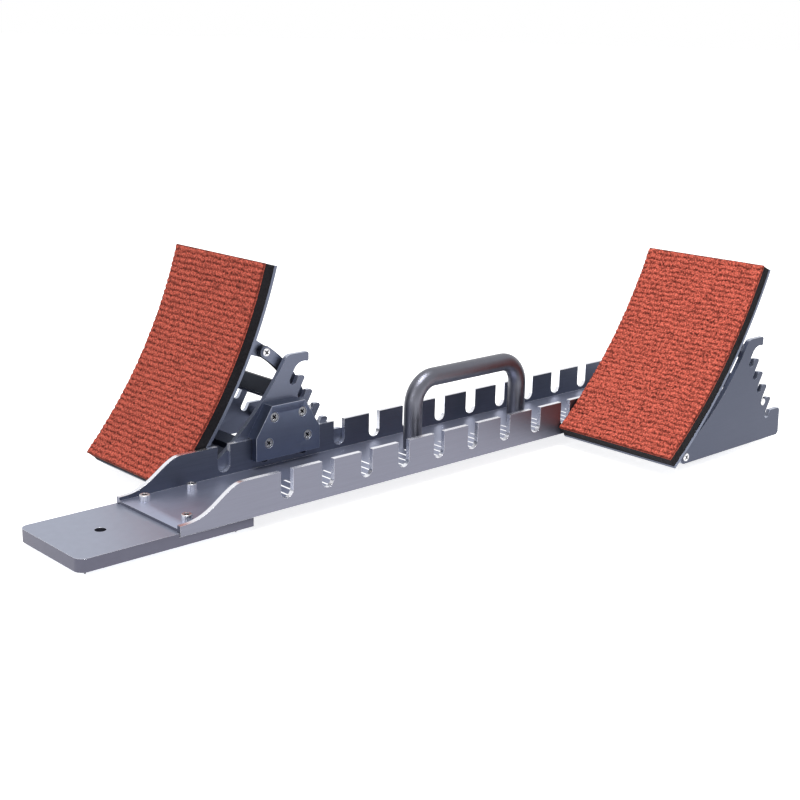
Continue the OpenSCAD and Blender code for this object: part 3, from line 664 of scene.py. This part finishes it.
plateScrews = {
    # half the spans of the pattern; head radius, height, rim, shank radius and reach; the hexagon's width
    # and depth; the knurl's height and count; and where each pattern's middle stands along the rail
    "along": 26.25, "across": 34.5, "form": (5, 6, 0.6, 3, 11.4), "hex": (5.1, 3.2), "knurl": (0.12, 30),
    "middle": {"front": -293.5, "rear": 390.0},
}
plateHead = screwProfile(*plateScrews["form"])
for plate, middle in plateScrews["middle"].items():
    heads = []
    for sx in (-1, 1):
        for sy in (-1, 1):
            at = (middle + sx * plateScrews["along"], sy * plateScrews["across"], railFloorTop)
            recess = hexRecess(*plateScrews["hex"])
            heads.append(turned(at, (0, 0, 1), plateHead, recess, *plateScrews["knurl"]))
    screwPiece(plate + "CapScrews", "rail", heads, plate + "_plate_screws")

pedalScrews = {
    # head radius, head height, rim, shank radius, and the cross: width, reach, depth
    "pivot": {"head": (4.5, 2.4, 1.0, 3), "cross": (1.5, 3.0, 1.5)},
    "hinge": {"head": (4.6, 2.5, 1.1, 4), "cross": (1.5, 3.0, 1.5)},
    "block": {"head": (4.75, 2.1, 0.35, 3), "cross": (1.8, 3.3, 1.5)},
}
pivotShank = 10.4  # through the arm and the lug
blockPattern = ((-18, 0), (18, 0), (-25, -26), (25, -26))  # along the rail and down from the upper pair
blockHead = 5  # radius of the CAD heads, which the box of the pattern goes round


def pedalScrew(kind, at, axis, reach):
    look = pedalScrews[kind]
    return turned(at, axis, screwProfile(*look["head"], reach), crossRecess(*look["cross"]))


for side in ("front", "rear"):
    f = pedalFrame(side)
    sign, hinge, pivot = f["sign"], f["hinge"], f["pivot"]
    # pivot screws: heads on the outer faces of the two arms, and shanks that reach through the lugs
    low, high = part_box(side + "_pivot_screws")
    head = pedalScrews["pivot"]["head"][1]
    heads = [pedalScrew("pivot", (pivot[0], edge / mm - out * head, pivot[2]), (0, out, 0), pivotShank)
             for edge, out in ((low.y, -1), (high.y, 1))]
    screwPiece(side + "PivotScrews", side + "_pad", heads, side + "_pivot_screws")
    # hinge bolt: its head outside the outer cheek, and a shank that reaches to the locking block
    low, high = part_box(side + "_hinge_bolt")
    head, long = pedalScrews["hinge"]["head"][1], (high.y - low.y) / mm
    edge = (high.y if sign > 0 else low.y) / mm
    heads = [pedalScrew("hinge", (hinge[0], edge - sign * head, hinge[2]), (0, sign, 0), long - head)]
    screwPiece(side + "HingeBolt", side + "_carriage", heads, side + "_hinge_bolt")
    # block screws: countersunk heads in the block's inner face, and shanks into the cheek
    low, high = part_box(side + "_block_screws")
    head, long = pedalScrews["block"]["head"][1], (high.y - low.y) / mm
    edge = (low.y if sign > 0 else high.y) / mm
    middle, top = (low.x + high.x) / 2 / mm, high.z / mm - blockHead
    heads = [pedalScrew("block", (middle + dx, edge + sign * head, top + dz), (0, -sign, 0), long - head)
             for dx, dz in blockPattern]
    screwPiece(side + "BlockScrews", side + "_carriage", heads, side + "_block_screws", "darkScrew")
print("screws made")


# scale on the rail floor: white ticks, four to a slot
scaleLook = {
    "from": -256.5, "to": 400, "step": 12.5, "near": -47, "length": 46, "width": 2.3, "proud": 0.05,
}


def scaleTicks():
    # a tick is a thin box: two rings square to X, and at each end a ring that has shrunk to its middle
    shrunk = np.array([0, 1, 1, 0])[:, None]
    x = np.array([-0.5, -0.5, 0.5, 0.5])[:, None] * scaleLook["width"]
    y = scaleLook["near"] + scaleLook["length"] * (0.5 + np.array([-0.5, 0.5, 0.5, -0.5]) * shrunk)
    z = railFloorTop + scaleLook["proud"] * np.array([-1, -1, 1, 1]) * shrunk
    places = np.arange(scaleLook["from"], scaleLook["to"], scaleLook["step"])
    return [np.stack(np.broadcast_arrays(place + x, y, z), axis=-1) * mm for place in places]


objectFrom("railScale", "rail", closedShells("railScale", scaleTicks()), finishes["ink"])
print("scale made")


# CAD nodes that keep their own shape
keptLook = {
    "smooth": 35, "other": "steel",
    "finish": {"carry_handle": "handle", "front_spikes": "spike", "rear_spikes": "spike"},
}
for node, piece in nodes.items():
    piece.data.materials.clear()
    piece.data.materials.append(finishes[keptLook["finish"].get(node, keptLook["other"])])
    smoothByAngle(piece.data, keptLook["smooth"])
print("finishes on the kept solids")


# floor, light and camera
stageLook = {"floor": 0.9, "floorGlow": 0.75, "world": 0.42, "size": 60.0}
lampLook = {
    "keyLamp": {"place": (-0.5, -0.5, 2.8), "aim": (0, 0, 0.1), "size": (1.1, 1.1), "power": 80},
    "fillLamp": {"place": (-2.6, -0.8, 1.2), "aim": (0.3, 0, 0.1), "size": (1.2, 1.0), "power": 12},
}
cameraLook = {
    # the direction, roll and place that the photograph was taken from, in degrees and metres
    "azimuth": -43.2389, "elevation": 15.1098, "roll": 1.3359, "place": (-0.9723, -1.0058, 0.4501),
    "lens": 61.12, "sensor": 36, "nearest": 0.05, "furthest": 100,
}


def seenRay(tree):
    # one for a ray from the camera, a reflection or a refraction, so metal shows the same white as the
    # background
    path = addNode(tree, "ShaderNodeLightPath")
    bent = mathNode(tree, "MAXIMUM", path.outputs["Is Glossy Ray"], path.outputs["Is Transmission Ray"])
    return mathNode(tree, "MAXIMUM", path.outputs["Is Camera Ray"], bent)


def paleFloor():
    mesh = bpy.data.meshes.new("studioFloor")
    s = stageLook["size"]
    mesh.from_pydata([(-s, -s, 0), (s, -s, 0), (s, s, 0), (-s, s, 0)], [], [(0, 1, 2, 3)])
    floor = bpy.data.objects.new("studioFloor", mesh)
    scene.collection.objects.link(floor)
    material, tree, shader = emptyMaterial("floorPaper")
    put(shader, Base_Color=(stageLook["floor"],) * 3 + (1,), Roughness=0.9)
    glow = addNode(tree, "ShaderNodeEmission")
    seen = mathNode(tree, "MULTIPLY", seenRay(tree), stageLook["floorGlow"])
    tree.links.new(seen, glow.inputs["Strength"])
    both = addNode(tree, "ShaderNodeAddShader")
    tree.links.new(shader.outputs[0], both.inputs[0])
    tree.links.new(glow.outputs[0], both.inputs[1])
    tree.links.new(both.outputs[0], tree.nodes["Material Output"].inputs["Surface"])
    mesh.materials.append(material)


def paleWorld():
    world = bpy.data.worlds.new("studioAir")
    world.use_nodes = True
    scene.world = world
    tree = world.node_tree
    background = tree.nodes["Background"]
    background.inputs["Color"].default_value = (1, 1, 1, 1)
    seen = mathNode(tree, "MULTIPLY", seenRay(tree), 1 - stageLook["world"])
    tree.links.new(mathNode(tree, "ADD", seen, stageLook["world"]), background.inputs["Strength"])


def softLamp(name, look):
    lamp = bpy.data.lights.new(name, "AREA")
    lamp.shape, lamp.energy = "RECTANGLE", look["power"]
    lamp.size, lamp.size_y = look["size"]
    holder = bpy.data.objects.new(name, lamp)
    holder.location = look["place"]
    sight = Vector(look["aim"]) - Vector(look["place"])
    holder.rotation_euler = sight.to_track_quat("-Z", "Y").to_euler()
    scene.collection.objects.link(holder)


def photoCamera():
    # the axes come from azimuth and elevation, and are then turned about the line of sight by the roll
    az, el, roll = (math.radians(cameraLook[key]) for key in ("azimuth", "elevation", "roll"))
    back = Vector((math.sin(az) * math.cos(el), -math.cos(az) * math.cos(el), math.sin(el)))
    right = (-back).cross(Vector((0, 0, 1))).normalized()
    up = right.cross(-back)
    x = right * math.cos(roll) + up * math.sin(roll)
    y = -right * math.sin(roll) + up * math.cos(roll)
    lens = bpy.data.cameras.new("photoCamera")
    lens.lens, lens.sensor_width = cameraLook["lens"], cameraLook["sensor"]
    lens.sensor_fit = "HORIZONTAL"
    lens.clip_start, lens.clip_end = cameraLook["nearest"], cameraLook["furthest"]
    camera = bpy.data.objects.new("photoCamera", lens)
    turn = Matrix((x, y, back)).transposed().to_4x4()
    camera.matrix_world = Matrix.Translation(cameraLook["place"]) @ turn
    scene.collection.objects.link(camera)
    scene.camera = camera


paleFloor()
paleWorld()
for lampName, look in lampLook.items():
    softLamp(lampName, look)
photoCamera()
scene.view_settings.view_transform = "Standard"
print("stage, lamps and camera ready")
